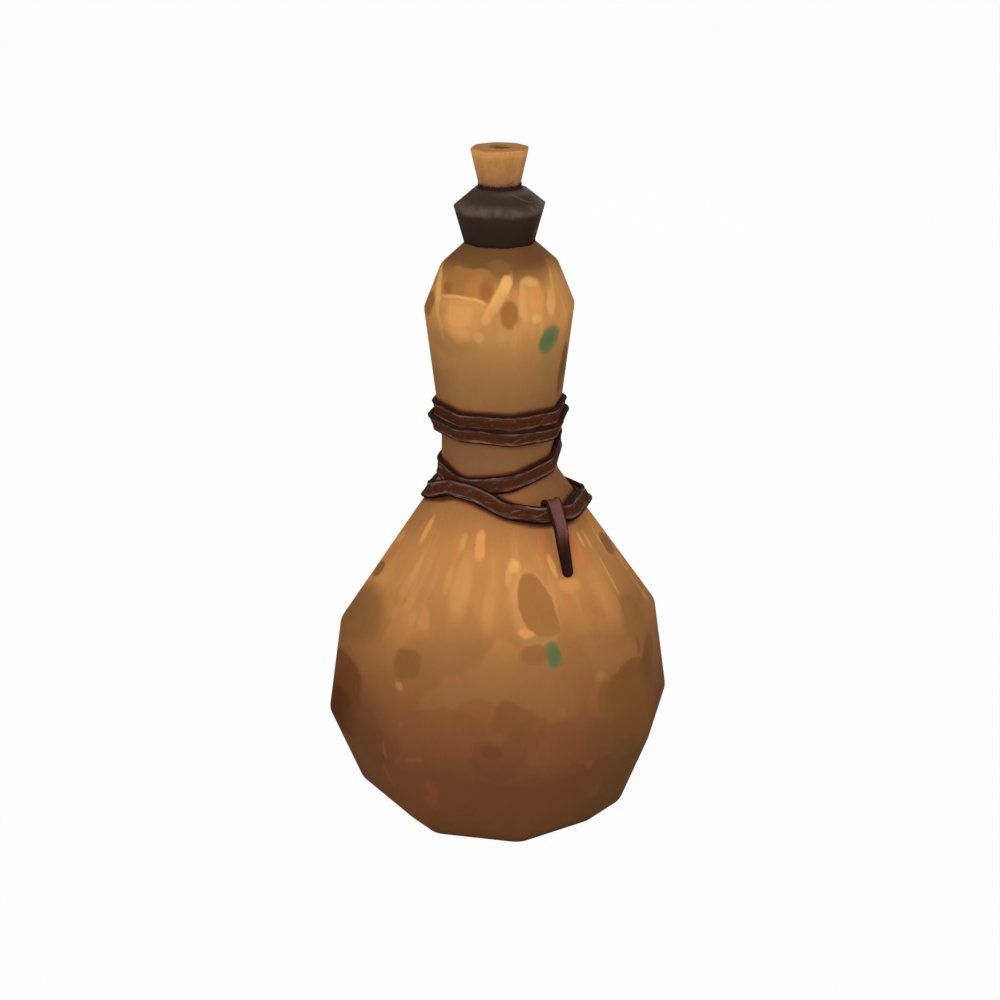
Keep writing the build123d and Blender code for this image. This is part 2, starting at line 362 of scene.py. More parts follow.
def begin_finish(name, layer=""):
    """An empty node material, and the coordinates that its patterns are read from."""
    material = bpy.data.materials.new(name)
    start = start_tree(material)
    if layer:
        return material, start.node("ShaderNodeUVMap", {"uv_map": layer}, {})
    return material, start.node("ShaderNodeTexCoord", {}, {}, "Object")


def end_finish(colour, roughness, relief, depth, **fixed):
    """Ends a material in a shader with a colour, a roughness, and a relief of some depth in metres."""
    normal = colour.node("ShaderNodeBump", {}, {"Height": relief, "Distance": depth, "Strength": 1.0})
    sockets = {"Base Color": colour, "Roughness": roughness, "Normal": normal}
    sockets.update({name.replace("_", " "): value for name, value in fixed.items()})
    surface = colour.node("ShaderNodeBsdfPrincipled", {}, sockets)
    surface.node("ShaderNodeOutputMaterial", {}, {"Surface": surface})


def paint(piece, material):
    piece.data.materials.clear()
    piece.data.materials.append(material)


def measure(place):
    """Degrees round the axis and millimetres up, at each point."""
    x = place.node("ShaderNodeSeparateXYZ", {}, {0: place}, "X")
    return x.maths("ARCTAN2", x.beside("Y"), x) * math.degrees(1), x.beside("Z") * 1000


gourd_skin, place = begin_finish("gourd_skin")
turn, height = measure(place)
round_axis = place.vectors("NORMALIZE", place.stretched((1, 1, 0)))
cloud = place.noise(22, 3)
drift = place.noise(9, 1)

# Smoke and sun coloured the skin in washes, each with its own edge, and by height, in shares of skin_reach in mm.
# The dark lower belly, up to about its widest, is painted shade where it faces the floor.
skin_reach = 225
bend = 0.012
bent = place.vectors("MULTIPLY_ADD", place.noise(85, 2, output=1), (bend, bend, bend), place)
washes = bent.node(
    "ShaderNodeTexVoronoi", {"feature": "SMOOTH_F1"}, {"Vector": bent, "Scale": 52, "Smoothness": 0.22}, "Color"
)
wash = washes.node("ShaderNodeSeparateColor", {}, {0: washes})
uneven = (cloud - 0.5) * 12 + (drift - 0.5) * 8 + (wash - 0.5) * 6
level = (height + uneven * (0.35 + height.step(198, 160) * 0.65)) / skin_reach
skin = level.ramp([
    (0.00, (0.165, 0.062, 0.022)),
    (0.06, (0.158, 0.060, 0.021)),
    (0.17, (0.142, 0.051, 0.019)),
    (0.235, (0.185, 0.068, 0.025)),
    (0.28, (0.240, 0.096, 0.034)),
    (0.33, (0.278, 0.118, 0.039)),
    (0.365, (0.315, 0.137, 0.043)),
    (0.405, (0.425, 0.182, 0.055)),
    (0.445, (0.490, 0.214, 0.064)),
    (0.50, (0.500, 0.218, 0.064)),
    (0.54, (0.400, 0.170, 0.054)),
    (0.58, (0.300, 0.126, 0.045)),
    (0.62, (0.222, 0.098, 0.038)),
    (0.67, (0.200, 0.092, 0.037)),
    (0.72, (0.232, 0.108, 0.039)),
    (0.78, (0.280, 0.134, 0.044)),
    (0.815, (0.335, 0.158, 0.050)),
    (0.85, (0.410, 0.194, 0.060)),
    (0.885, (0.510, 0.238, 0.074)),
    (0.925, (0.520, 0.238, 0.073)),
    (0.952, (0.320, 0.145, 0.045)),
    (0.972, (0.170, 0.078, 0.026)),
    (1.00, (0.150, 0.066, 0.022)),
])

# Soft strokes that run up and down the belly and the bulb, where the skin was scraped
strokes = place.vectors("MULTIPLY_ADD", round_axis, (7.5, 7.5, 0.0), place.combined(0.0, 0.0, height * 0.045))
on_shoulders = height.step(84, 100) * height.step(128, 114)
on_bulb = height.step(186, 198) * height.step(217, 209)
scraped = on_shoulders + on_bulb
light_strokes = strokes.noise(1.0, 2).step(0.46, 0.72)
skin = skin.blended((0.66, 0.325, 0.105), light_strokes * scraped * 0.36)
red_strokes = strokes.stretched((1.2, 1.2, 1.5)).noise(1.0, 1).step(0.58, 0.74)
skin = skin.blended((0.52, 0.175, 0.062), red_strokes * scraped * 0.30)

# Stains, and a few dark patches at the left edge of the belly that are painted shade: 2 for a round one or 4 for a
# boxy one, degrees round the axis and height of its middle in mm, half sizes in mm, tilt in degrees, how blurred its
# edge is, how strong it is, and its colour. They lie on the skin unrolled, with bulb_scale or belly_scale mm to a
# degree, and looseness says how many mm their edges wander.
bulb_scale = 0.47
belly_scale = 1.0
bulb_base = 150
looseness = {bulb_scale: 1.7, belly_scale: 2.6}
wander = bent.noise(160, 2, output=1)
unrolled = {}
for scale, loose in looseness.items():
    flat_place = place.combined(turn * scale, height, 1.0)
    unrolled[scale] = place.vectors("MULTIPLY_ADD", wander, (loose, loose, 0.0), flat_place)
brown = (0.255, 0.108, 0.034)
dark_brown = (0.175, 0.072, 0.022)
red_brown = (0.185, 0.067, 0.024)
leaf_brown = (0.345, 0.145, 0.042)
pale = (0.68, 0.36, 0.125)
yellow = (0.79, 0.435, 0.130)
ochre = (0.62, 0.290, 0.088)
orange = (0.70, 0.300, 0.092)
green = (0.080, 0.136, 0.049)
dull_green = (0.128, 0.150, 0.056)
rust = (0.56, 0.180, 0.058)
stains_and_shade = [
    # Bulb, from the front left round to the right
    (4, -111.5, 211.6, 12.8, 5, 0, 0.1, 0.92, (0.35, 0.152, 0.042)),
    (2, -97, 210.4, 5, 3.6, 0, 0.45, 0.65, (0.47, 0.195, 0.055)),
    (2, -132.5, 208.4, 3, 2.2, 0, 0.7, 0.6, (0.3, 0.095, 0.03)),
    (2, -90, 209.3, 2.4, 3.4, 20, 0.7, 0.65, (0.29, 0.09, 0.03)),
    (2, -110, 204.4, 8.6, 2.6, 0, 0.5, 0.6, ochre),
    (2, -123.5, 206.6, 5.8, 0.6, 9, 0.4, 0.85, pale),
    (2, -106.5, 206.9, 4.6, 0.5, -6, 0.4, 0.85, pale),
    (2, -95.5, 206.2, 3.4, 0.5, -16, 0.4, 0.8, pale),
    (2, -152, 201.8, 3.2, 4.4, 10, 0.25, 0.85, brown),
    (2, -146, 208, 1.5, 8.2, 30, 0.35, 0.85, (0.74, 0.385, 0.115)),
    (2, -134.5, 198.5, 1.1, 4.6, 30, 0.5, 0.65, ochre),
    (2, -111, 197.6, 7.6, 6.6, 0, 0.16, 0.55, (0.57, 0.27, 0.083)),
    (4, -112, 200.8, 5, 3.2, 0, 0.25, 0.7, (0.66, 0.3, 0.09)),
    (2, -112, 195, 3.6, 2.6, 0, 0.5, 0.4, (0.66, 0.3, 0.092)),
    (2, -94.4, 193.4, 1.6, 1.7, 0, 0.6, 0.6, (0.6, 0.29, 0.095)),
    (2, -132, 193, 1.2, 2.8, 15, 0.45, 0.7, ochre),
    (2, -72, 212.4, 2, 2.6, -36, 0.4, 0.8, yellow),
    (2, -78.5, 207.4, 2, 8.4, -34, 0.4, 0.85, (0.76, 0.41, 0.122)),
    (2, -86.5, 201.6, 1.8, 3.2, -20, 0.4, 0.8, ochre),
    (2, -73, 201.8, 4.6, 5.6, 0, 0.5, 0.4, (0.4, 0.18, 0.055)),
    (2, -70.5, 202, 3.2, 4.8, -12, 0.2, 0.95, (0.32, 0.132, 0.035)),
    (4, -50.5, 206.3, 5.4, 6.8, -8, 0.12, 0.55, ochre),
    (2, -58.5, 206, 1.2, 5.4, -6, 0.6, 0.5, pale),
    (2, -44.5, 206.9, 3.4, 5, -8, 0.3, 0.9, (0.64, 0.275, 0.078)),
    (2, -47.5, 212.2, 3.6, 1.4, -6, 0.6, 0.65, (0.7, 0.37, 0.115)),
    (2, -47.3, 199.8, 1.8, 1.6, 0, 0.5, 0.7, pale),
    (2, -30.6, 204.7, 1.7, 4.6, -20, 0.4, 0.8, (0.72, 0.385, 0.118)),
    (2, -24, 211.5, 1, 4.2, -20, 0.4, 0.6, pale),
    (2, -25.5, 202.3, 1, 4.2, -18, 0.4, 0.7, (0.42, 0.2, 0.055)),
    (2, -17.5, 201.5, 0.6, 4.4, -12, 0.4, 0.7, pale),
    (2, -35.1, 191.2, 3.8, 5.2, -24, 0.25, 0.88, dull_green),
    (2, -37, 190.3, 2.5, 3.4, -20, 0.55, 0.85, green),
    (2, -35.1, 182, 2.4, 5.4, 0, 0.6, 0.5, (0.2, 0.16, 0.05)),
    (2, -12, 205, 7, 9, 0, 0.7, 0.5, (0.63, 0.29, 0.084)),
    (2, -124, 189.5, 9, 4, 0, 0.6, 0.5, (0.265, 0.136, 0.047)),
    (2, -3.5, 177, 7.4, 9.4, -12, 0.16, 0.9, (0.17, 0.07, 0.023)),
    (2, -38, 219.4, 9, 2.6, 0, 0.6, 0.5, (0.16, 0.056, 0.023)),
    (2, -79, 217.6, 5, 1.6, 0, 0.6, 0.35, (0.33, 0.16, 0.06)),
    # Belly, its upper half
    # A dark patch at the left edge of the belly: painted shade
    (2, -151, 83.5, 16, 10, 0, 0.3, 0.6, (0.215, 0.095, 0.031)),
    (2, -134.5, 117.4, 2.6, 4.8, 0, 0.35, 0.85, (0.7, 0.325, 0.102)),
    (2, -154.6, 111.9, 2, 2.2, 0, 0.4, 0.7, ochre),
    (2, -155.5, 99.3, 3.6, 2.9, 0, 0.25, 0.8, (0.215, 0.092, 0.029)),
    (2, -150.5, 96.8, 3.8, 1, 0, 0.5, 0.6, (0.52, 0.25, 0.078)),
    (2, -127, 104.5, 1.9, 5.2, 0, 0.5, 0.55, ochre),
    (2, -128.5, 99.5, 3.4, 4.2, 0, 0.5, 0.5, ochre),
    (4, -90.3, 117.2, 2.7, 3.7, 6, 0.45, 0.8, (0.71, 0.315, 0.104)),
    (2, -101.5, 117.6, 1.5, 2.4, 0, 0.6, 0.4, pale),
    (2, -97.2, 103.4, 3.4, 7.6, 0, 0.8, 0.5, (0.66, 0.325, 0.105)),
    (2, -104.4, 105.8, 1.8, 4.2, 0, 0.5, 0.5, ochre),
    (2, -70, 111.5, 2.7, 1.8, 0, 0.6, 0.75, (0.76, 0.4, 0.125)),
    (2, -73.2, 108.2, 1.4, 3, -20, 0.5, 0.6, (0.66, 0.335, 0.102)),
    (2, -62.6, 98.2, 10, 12.8, 28, 0.2, 0.35, (0.66, 0.325, 0.102)),
    (2, -60.9, 98.6, 7.9, 11, 30, 0.07, 0.95, leaf_brown),
    (4, -56, 92.2, 4.6, 3.4, 0, 0.14, 0.95, leaf_brown),
    (2, -67.5, 90.8, 3.2, 1.2, -8, 0.4, 0.75, orange),
    (2, -21.5, 114.8, 1.5, 2.4, 0, 0.4, 0.75, pale),
    (2, -12.5, 112.8, 1.7, 2.8, 0, 0.4, 0.75, pale),
    (2, -49, 114.8, 3.8, 5.2, 0, 0.55, 0.65, rust),
    (2, -28, 111, 4.6, 5.8, 0, 0.55, 0.6, rust),
    (2, -40.4, 102.4, 5, 2.2, 0, 0.5, 0.6, orange),
    (2, -47, 109.1, 1.6, 3.4, 14, 0.4, 0.75, (0.76, 0.39, 0.125)),
    (2, 12, 105.6, 6.5, 4.4, 0, 0.2, 0.85, brown),
    (2, 4.5, 108, 1.1, 4.6, -12, 0.4, 0.6, pale),
    (2, -11.5, 99.8, 1.3, 6.6, -8, 0.4, 0.6, pale),
    (2, 15, 97, 1.6, 3.4, 0, 0.4, 0.5, ochre),
    (2, -12, 82, 13, 10.5, 0, 0.1, 0.5, (0.275, 0.12, 0.038)),
    (2, -29.5, 79, 6.5, 5.5, 0, 0.12, 0.4, (0.3, 0.13, 0.041)),
    (2, 14.5, 86, 1.6, 6, -5, 0.4, 0.5, (0.52, 0.25, 0.08)),
    (2, -31.8, 91.4, 2.5, 2.3, 0, 0.4, 0.55, (0.39, 0.175, 0.053)),
    (2, -115.9, 91.9, 1.8, 1.8, 0, 0.6, 0.45, (0.58, 0.24, 0.09)),
    (2, -110.2, 92.6, 1.8, 2.9, 10, 0.6, 0.4, (0.57, 0.245, 0.09)),
    (2, -128.9, 90.4, 2.2, 1.6, 0, 0.45, 0.5, (0.48, 0.2, 0.08)),
    # Belly, its middle and lower half
    (2, -62, 88.4, 6, 1.2, 0, 0.5, 0.45, (0.26, 0.16, 0.054)),
    (2, -64.9, 84.1, 5, 3.2, 0, 0.18, 0.72, (0.265, 0.104, 0.037)),
    (4, -57.6, 82.8, 2.7, 3.5, 10, 0.3, 0.88, dull_green),
    (2, -57.4, 82.2, 2, 2.7, 12, 0.6, 0.7, green),
    (4, -111.5, 77.5, 5, 4.9, 7, 0.16, 0.88, (0.222, 0.094, 0.026)),
    (2, -113.4, 69.2, 1.4, 1.6, 0, 0.6, 0.45, (0.52, 0.24, 0.088)),
    (2, -97, 53.5, 15, 9.6, 0, 0.12, 0.45, red_brown),
    (2, -84.5, 60.5, 9, 7.2, 0, 0.14, 0.4, red_brown),
    (2, -60, 50.5, 12, 8, 0, 0.08, 0.45, red_brown),
    (2, -44, 47, 10, 8.4, 0, 0.1, 0.45, red_brown),
    (4, -19, 58, 18, 13.6, 0, 0.08, 0.8, (0.18, 0.074, 0.022)),
    (2, -25, 70.4, 5.8, 4, 0, 0.12, 0.8, (0.18, 0.074, 0.022)),
    (2, -6, 67.5, 12, 7.4, 0, 0.16, 0.7, (0.18, 0.074, 0.022)),
    (2, -35.5, 60, 5, 8.4, 6, 0.12, 0.7, (0.19, 0.078, 0.024)),
    (2, -31, 46, 9, 8, 0, 0.3, 0.6, (0.165, 0.066, 0.021)),
    (2, -20.5, 77, 1.2, 3.4, -20, 0.4, 0.55, dark_brown),
    (4, -73.3, 60.6, 6.4, 6.4, -20, 0.18, 0.6, (0.172, 0.065, 0.022)),
    (2, -66.5, 57.4, 4.6, 5, 0, 0.25, 0.55, (0.172, 0.065, 0.022)),
    (2, -80.4, 48.3, 3.7, 2.6, 0, 0.25, 0.6, (0.134, 0.047, 0.017)),
    # These two dark patches at the left edge of the belly are painted shade
    (4, -155, 52, 17, 15.5, 0, 0.1, 0.75, (0.14, 0.044, 0.012)),
    (2, -152, 44, 12, 10, 0, 0.2, 0.7, (0.082, 0.023, 0.008)),
    (2, -133, 42, 13, 12, 0, 0.2, 0.45, (0.138, 0.049, 0.018)),
    (2, -123, 27.5, 1.5, 4.6, 8, 0.6, 0.45, (0.23, 0.062, 0.025)),
    (2, -102.6, 28.5, 1.8, 4.2, 8, 0.6, 0.45, (0.24, 0.066, 0.026)),
    (2, -103.8, 21.4, 1.9, 3.6, 8, 0.5, 0.4, (0.205, 0.072, 0.025)),
    (2, -119, 42.2, 1, 2.6, 8, 0.5, 0.5, (0.27, 0.08, 0.03)),
    (2, -106.3, 42.4, 2.2, 0.8, 0, 0.6, 0.22, (0.26, 0.11, 0.04)),
    (2, -39, 71, 1.5, 1.8, 0, 0.6, 0.4, (0.42, 0.17, 0.07)),
    (2, -56.6, 61.8, 2, 1.7, 0, 0.4, 0.4, (0.3, 0.11, 0.045)),
    (2, -44.7, 37.5, 1.6, 1.8, 0, 0.5, 0.4, (0.22, 0.09, 0.035)),
    (2, -38, 22.4, 1.7, 3, -15, 0.5, 0.4, (0.2, 0.085, 0.035)),
    # Bulb and belly, round the back
    (2, 32, 203, 3.4, 4.4, 10, 0.16, 0.9, (0.335, 0.138, 0.037)),
    (4, 62, 211.5, 11.5, 5, 0, 0.08, 0.88, (0.37, 0.165, 0.046)),
    (2, 54, 205.6, 5.6, 0.6, -8, 0.4, 0.85, pale),
    (2, 72, 205.8, 4.4, 0.6, 8, 0.4, 0.8, pale),
    (2, 90, 205, 1.9, 8.2, 30, 0.28, 0.92, yellow),
    (2, 118, 199, 7.4, 6.6, 0, 0.12, 0.72, ochre),
    (4, 119, 201.5, 4.6, 3, 0, 0.2, 0.85, orange),
    (2, 142, 190, 3.6, 4.8, 18, 0.22, 0.9, dull_green),
    (2, 143, 189.4, 2.3, 3, 18, 0.5, 0.9, green),
    (2, 76, 180, 3.2, 7.5, 12, 0.22, 0.75, (0.21, 0.09, 0.028)),
    (2, 42, 98, 9.6, 12.4, -26, 0.1, 0.5, (0.66, 0.325, 0.102)),
    (2, 41, 98, 7.4, 10.4, -26, 0.07, 0.95, leaf_brown),
    (2, 66, 113, 2.8, 5, 0, 0.3, 0.88, (0.76, 0.345, 0.118)),
    (2, 84, 104, 3.2, 7.4, 0, 0.55, 0.6, (0.66, 0.325, 0.105)),
    (2, 104, 85, 11, 7, 10, 0.1, 0.6, (0.25, 0.108, 0.035)),
    (2, 130, 101, 5.4, 7.2, 14, 0.12, 0.9, leaf_brown),
    (2, 153, 79, 3.4, 4.2, 0, 0.22, 0.92, dull_green),
    (2, 153, 78.6, 2.2, 3, 0, 0.5, 0.9, green),
    (4, 66, 76, 5, 4.8, 6, 0.12, 0.9, (0.222, 0.096, 0.026)),
    (2, 65, 67.5, 1.5, 1.7, 0, 0.4, 0.85, (0.6, 0.27, 0.11)),
    (4, 30, 56, 14, 12.6, 0, 0.08, 0.7, (0.18, 0.074, 0.022)),
    (2, 56, 52, 13, 9, 0, 0.08, 0.55, red_brown),
    (4, 88, 60, 6, 6, 20, 0.09, 0.8, (0.168, 0.063, 0.021)),
    (2, 112, 52, 14, 10.5, 0, 0.08, 0.6, red_brown),
    (2, 148, 56, 13, 12, 0, 0.12, 0.6, (0.15, 0.055, 0.019)),
    (2, 80, 30, 1.8, 4.2, -8, 0.5, 0.6, (0.27, 0.066, 0.028)),
]
for shape, azimuth, middle, half_width, half_height, tilt, blur, strength, colour in stains_and_shade:
    scale = bulb_scale if middle > bulb_base else belly_scale
    loose = looseness[scale]
    lean = math.radians(tilt)
    off = 0.0
    for across, up, half in (
        (math.cos(lean), math.sin(lean), half_width),
        (-math.sin(lean), math.cos(lean), half_height),
    ):
        start = across * (azimuth * scale + loose / 2) + up * (middle + loose / 2)
        ruler = (across / half, up / half, -start / half)
        off = place.vectors("DOT_PRODUCT", unrolled[scale], ruler, output="Value") ** shape + off
    skin = skin.blended(colour, off.step((1 + blur) ** shape, (1 - blur) ** shape, strength))

# Moss tint low on the right, painted shade along the thong's edges, painted shade at the foot, then mottling and
# pores
moss = turn.step(-52, -8) * turn.step(60, 20) * height.step(52, 30) * place.noise(30, 2).step(0.35, 0.62)
skin = skin.blended((0.080, 0.066, 0.019), moss * 0.65)
# Painted shade on the skin round the thong: reddish out from its edges and dark next to them
dye = place.node("ShaderNodeAttribute", {"attribute_name": "dye"}, {}, "Fac")
ragged_strap_shade = dye + (place.noise(420, 2) - 0.5) * 0.5 * dye
skin = skin.blended((0.230, 0.056, 0.022), ragged_strap_shade.step(0.0, 0.45) * 0.60)
skin = skin.blended((0.080, 0.022, 0.011), ragged_strap_shade.step(0.35, 0.95) * 0.85)
# Painted shade at the foot, where it meets the floor
skin = skin.blended((0.060, 0.024, 0.011), height.step(3, 0) * 0.30)
mottle = place.noise(75, 4, 0.6)
fibres = place.stretched((800, 800, 80)).noise(1.0, 2)
pores = place.noise(1500, 1)
skin = skin.shaded(0.87 + mottle * 0.16 + fibres * 0.07 + pores * 0.03 + (wash - 0.5) * 0.05)
relief = mottle * 0.4 + fibres * 0.15 + pores * 0.08
end_finish(skin, 0.62 + mottle * 0.22, relief, 0.0005, Specular_IOR_Level=0.01)
paint(gourd, gourd_skin)
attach(gourd, "root")
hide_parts("gourd_shell")


# Lining and seal: a coat of beeswax inside the gourd, poured in and swilled round, and a ring of pitch that
# beds the collar on the gourd's cut top.

beeswax, place = begin_finish("beeswax")
thin = place.noise(60, 4)
wax_colour = thin.ramp([(0.3, (0.50, 0.36, 0.15)), (0.7, (0.72, 0.58, 0.31))])
runs = place.stretched((260, 260, 30)).noise(1.0, 2)
end_finish(wax_colour, 0.40 + thin * 0.2, runs + thin * 0.4, 0.0005)
paint(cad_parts["wax_lining"], beeswax)

pitch, place = begin_finish("pitch")
lumps = place.noise(700, 3)
pitch_colour = lumps.ramp([(0.3, (0.008, 0.005, 0.004)), (0.7, (0.026, 0.016, 0.012))])
end_finish(pitch_colour, 0.60 + lumps * 0.3, lumps, 0.0003, Specular_IOR_Level=0.02)
paint(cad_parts["pitch_seal"], pitch)


# Collar: blackened wood, cut eight-sided as two cones, with a round tenon that goes down into the gourd and a
# tapered bore for the stopper. Its ridge and edges are worn to grey.

collar_base = 0.2235
collar_ridge = 0.2367
collar_top = 0.2426
collar_foot_radius = 0.0133
collar_ridge_radius = 0.0170
collar_top_radius = 0.0096
collar_rounding = 0.0012
tenon_radius = 0.0090
tenon_base = 0.2120
plug_tip = 0.2300
recess_radius = 0.0084
recess_floor = 0.2421
bore_top_radius = 0.00755
bore_radius = 0.00535
around_collar = 144
collar_softness = 0.0005
collar_step = 0.0012
ridge_reach = 0.0006

collar_sides = divide(
    soften(
        [
            (collar_base, collar_foot_radius - 0.0004, collar_rounding),
            (collar_base, collar_foot_radius, collar_rounding),
            (collar_ridge, collar_ridge_radius, collar_rounding),
            (collar_top, collar_top_radius, collar_rounding),
            (collar_top, collar_top_radius - 0.0005, collar_rounding),
        ],
        collar_softness,
        4,
    ),
    collar_step,
)
collar = turn_piece(
    "collar",
    [(*ring, 0) for ring in collar_sides]
    + [
        (collar_top, recess_radius, None, 0),
        (recess_floor, recess_radius, None, 0),
        (recess_floor, bore_top_radius, None, 0),
        (plug_tip, bore_radius, None, 0),
        (tenon_base, bore_radius, None, 0),
        (tenon_base, tenon_radius, None, 0),
        (collar_base, tenon_radius, None, 0),
    ],
    around_collar,
    closed=True,
)
collar.data.set_sharp_from_angle(angle=math.radians(38))
lower_lean = math.atan2(collar_foot_radius - collar_ridge_radius, collar_ridge - collar_base)
upper_lean = math.atan2(collar_ridge_radius - collar_top_radius, collar_top - collar_ridge)
light_roundly(
    collar,
    range(around_collar, (len(collar_sides) - 4) * around_collar),
    [collar_ridge - ridge_reach, collar_ridge + ridge_reach],
    [lower_lean, upper_lean],
)

black_wood, place = begin_finish("black_wood")
turn, height = measure(place)
scuff = place.noise(240, 4, 0.6)
patch = place.noise(70, 2)
off_ridge = abs(height - 236.1 + (patch - 0.5) * 3.4)
worn = off_ridge.step(2.9, 0.3) * scuff.step(0.20, 0.58)
under_edge = height.step(240.4, 241.6) * height.step(242.8, 241.9) * patch.step(0.40, 0.62)
scratch = abs(height - 241.6 + (turn + 52 + (scuff - 0.5) * 18) * 0.105).step(0.42, 0.05)
scratch = scratch * turn.step(-56, -48) * turn.step(-16, -26)
grain = place.stretched((900, 900, 120)).noise(1.0, 2)
wood_height = (height - collar_base * 1000) / ((collar_top - collar_base) * 1000)
wood_colour = (
    wood_height.ramp([
        (0.00, (0.024, 0.013, 0.008)),
        (0.60, (0.030, 0.017, 0.011)),
        (0.72, (0.042, 0.027, 0.018)),
        (1.00, (0.047, 0.032, 0.022)),
    ])
    .blended((0.112, 0.080, 0.062), worn * 0.85)
    .blended((0.115, 0.084, 0.064), under_edge * 0.6)
    .blended((0.120, 0.086, 0.066), scratch * 0.55)
    .shaded(0.80 + scuff * 0.22 + grain * 0.14)
)
end_finish(wood_colour, 0.50 + scuff * 0.28, scuff * 0.5 + grain * 0.35, 0.0003, Specular_IOR_Level=0.03)
paint(collar, black_wood)
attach(collar, "root")
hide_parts("mouth_collar")


# Felt ring: pitched felt, pressed into the recess round the bore, for the stopper's head to sit on. Its
# fibres fray up against the cork.

gasket_inner = 0.00755
gasket_outer = 0.00820
gasket_base = recess_floor
gasket_top = 0.24340
around_gasket = 96

felt_ring = turn_piece(
    "felt_ring",
    [
        (gasket_base, gasket_outer - 0.0001, None, 0),
        (gasket_base + 0.0005, gasket_outer, None, 0),
        (gasket_top - 0.0005, gasket_outer - 0.0002, None, 0),
        (gasket_top, gasket_outer - 0.0005, None, 0),
        (gasket_top, gasket_inner + 0.0001, None, 0),
        (gasket_top - 0.0003, gasket_inner, None, 0),
        (gasket_base, gasket_inner, None, 0),
    ],
    around_gasket,
    closed=True,
)

felt, place = begin_finish("pitched_felt")
tangle = place.noise(1800, 4, 0.7)
felt_colour = tangle.ramp([(0.3, (0.012, 0.004, 0.003)), (0.75, (0.060, 0.022, 0.014))])
end_finish(felt_colour, 0.75 + tangle * 0.2, tangle, 0.0004, Specular_IOR_Level=0.05)
paint(felt_ring, felt)

hair_tree = bpy.data.node_groups.new("felt_hairs", "GeometryNodeTree")
sockets = hair_tree.interface
sockets.new_socket("Geometry", in_out="OUTPUT", socket_type="NodeSocketGeometry")
hair_inputs = {}
for label, kind, value in (
    ("Ring Radius", "NodeSocketFloat", 0.00770),
    ("Ring Height", "NodeSocketFloat", 0.2432),
    ("Hair Count", "NodeSocketInt", 420),
    ("Hair Length", "NodeSocketFloat", 0.0013),
    ("Hair Radius", "NodeSocketFloat", 0.00011),
    ("Seed", "NodeSocketInt", 7),
):
    socket = sockets.new_socket(label, in_out="INPUT", socket_type=kind)
    hair_inputs[label] = (socket.identifier, value)
given_node = hair_tree.nodes.new("NodeGroupInput")
given = {label: Tone(hair_tree, given_node.outputs[label]) for label in hair_inputs}
start = given["Seed"]
ring = start.node(
    "GeometryNodeCurvePrimitiveCircle", {}, {"Radius": given["Ring Radius"], "Resolution": given["Hair Count"]}
)
lift = start.combined(0.0, 0.0, given["Ring Height"])
ring = start.node("GeometryNodeTransform", {}, {"Geometry": ring, "Translation": lift})
hair = start.node(
    "GeometryNodeMeshCone",
    {"fill_type": "NGON"},
    {"Vertices": 3, "Radius Top": 0.0, "Radius Bottom": given["Hair Radius"], "Depth": given["Hair Length"]},
)
spot = start.node("GeometryNodeInputPosition", {}, {})
outwards = start.vectors("MULTIPLY", spot, (20.0, 20.0, 0.0))
astray = start.node(
    "FunctionNodeRandomValue",
    {"data_type": "FLOAT_VECTOR"},
    {"Min": (-0.16, -0.16, 0.8), "Max": (0.16, 0.16, 1.4), "Seed": given["Seed"]},
)
way = start.vectors("ADD", outwards, astray)
stand = start.node("FunctionNodeAlignRotationToVector", {"axis": "Z"}, {"Vector": way})
size = start.node(
    "FunctionNodeRandomValue", {"data_type": "FLOAT"}, {"Min": 0.35, "Max": 1.25, "Seed": given["Seed"]}, 1
)
hairs = start.node(
    "GeometryNodeInstanceOnPoints", {}, {"Points": ring, "Instance": hair, "Rotation": stand, "Scale": size}
)
hairs = start.node("GeometryNodeRealizeInstances", {}, {"Geometry": hairs})
hairs = start.node("GeometryNodeSetMaterial", {}, {"Geometry": hairs, "Material": felt})
start.node("NodeGroupOutput", {}, {0: hairs})

hair_maker = put("felt_hairs", bpy.data.meshes.new("felt_hairs"))
growth = hair_maker.modifiers.new("growth", "NODES")
growth.node_group = hair_tree
for identifier, value in hair_inputs.values():
    growth[identifier] = value
hair_mesh = bpy.data.meshes.new_from_object(hair_maker.evaluated_get(bpy.context.evaluated_depsgraph_get()))
hair_maker.modifiers.clear()
hair_maker.data = hair_mesh
hair_maker.data.name = "felt_hairs"
for piece in (felt_ring, hair_maker):
    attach(piece, "root")
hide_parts("stopper_gasket")


# Stopper: one piece of cork, cut by hand, with a tapered plug below and a head that widens upwards. Its rim
# is rubbed pale, and a smeared pit in its top shows where a peg was pulled out.

head_base = 0.2436
head_top = 0.2571
pit_middle = 0.0008
around_stopper = 128
head_softness = 0.0004
head_step = 0.0012
head_rings = [
    (head_base, 0.00790, 0.004),
    (head_base + 0.0004, 0.00800, 0.004),
    (head_top - 0.0005, 0.01090, 0.004),
    (head_top, 0.01040, 0.004),
    (head_top, 0.00900, 0.004),
]
plug_rings = [
    (plug_tip, 0.0010, None, 0),
    (plug_tip, 0.0046, None, 0),
    (plug_tip + 0.0006, 0.0052, None, 0),
    (head_base - 0.0001, 0.0074, None, 0),
    (head_base, 0.00745, None, 0),
]
pit_rings = [
    (head_top, 0.0062, None, 0.0003),
    (head_top, 0.0046, None, 0.0006),
    (head_top - 0.00015, 0.0036, None, pit_middle),
    (head_top - 0.00055, 0.0030, None, pit_middle),
    (head_top - 0.00105, 0.0021, None, pit_middle),
    (head_top - 0.00120, 0.0014, None, pit_middle),
    (head_top - 0.00120, 0.0006, None, pit_middle),
]
head_sides = divide(soften(head_rings, head_softness, 4), head_step)
stopper = turn_piece("stopper", plug_rings + [(*ring, 0) for ring in head_sides] + pit_rings, around_stopper)
stopper.data.set_sharp_from_angle(angle=math.radians(50))

